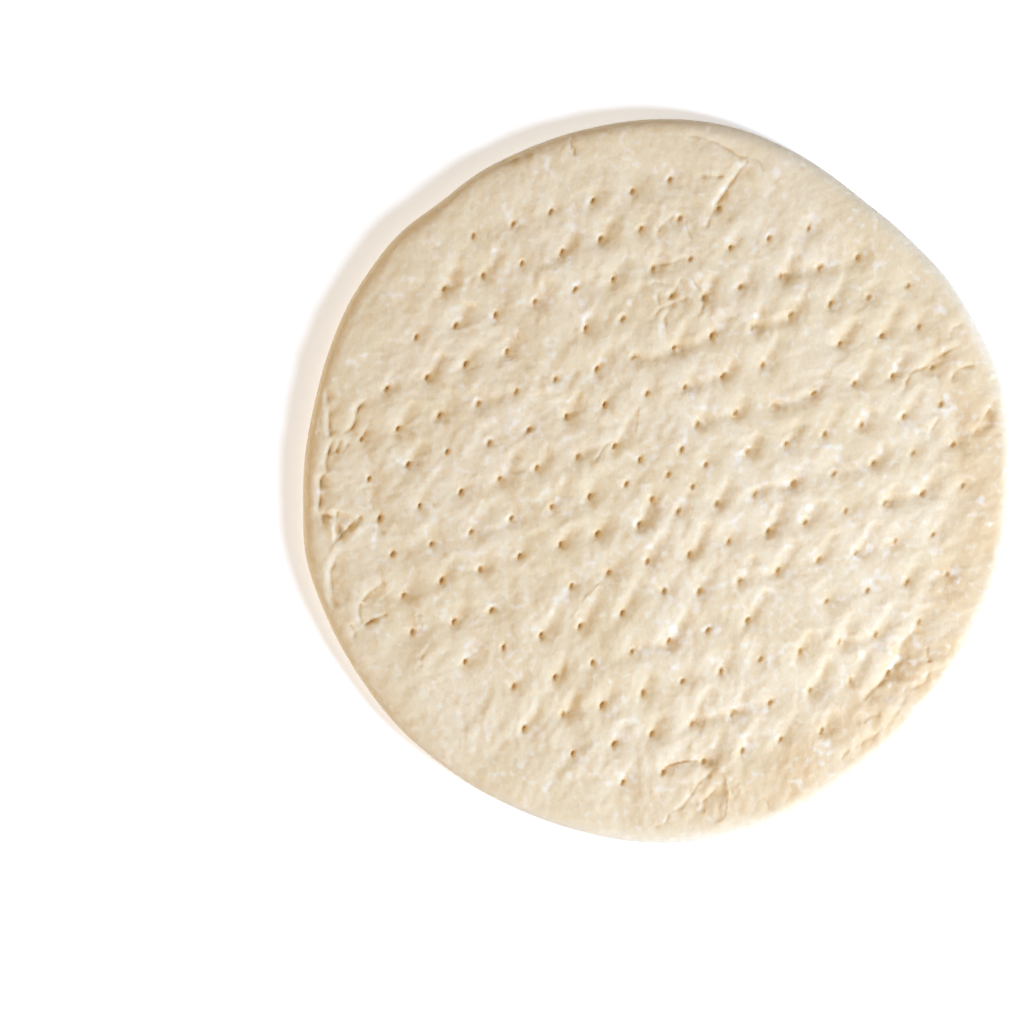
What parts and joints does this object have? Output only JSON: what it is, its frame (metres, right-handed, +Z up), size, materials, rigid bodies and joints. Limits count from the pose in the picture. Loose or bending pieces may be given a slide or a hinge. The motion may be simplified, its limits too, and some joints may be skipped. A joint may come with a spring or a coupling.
{
  "type": "pizza base",
  "caption": "Round par-baked pizza base of pale floury dough, pricked all over in a square docking pattern, with a smooth rolled edge and a few soft creases.",
  "frame": {"origin": "centre of the round outline, on the surface the base lies on", "axes": "+Z up through the pricked upper face, +Y away from a viewer who looks down on the base, +X to the right"},
  "size_m": [0.2988, 0.3052, 0.0105],
  "materials": {
    "baked_dough": "matt pale cream par-baked dough, dusted with flour"
  },
  "bodies": {
    "root": {"pizza_base": "baked_dough"}
  },
  "joints": []
}
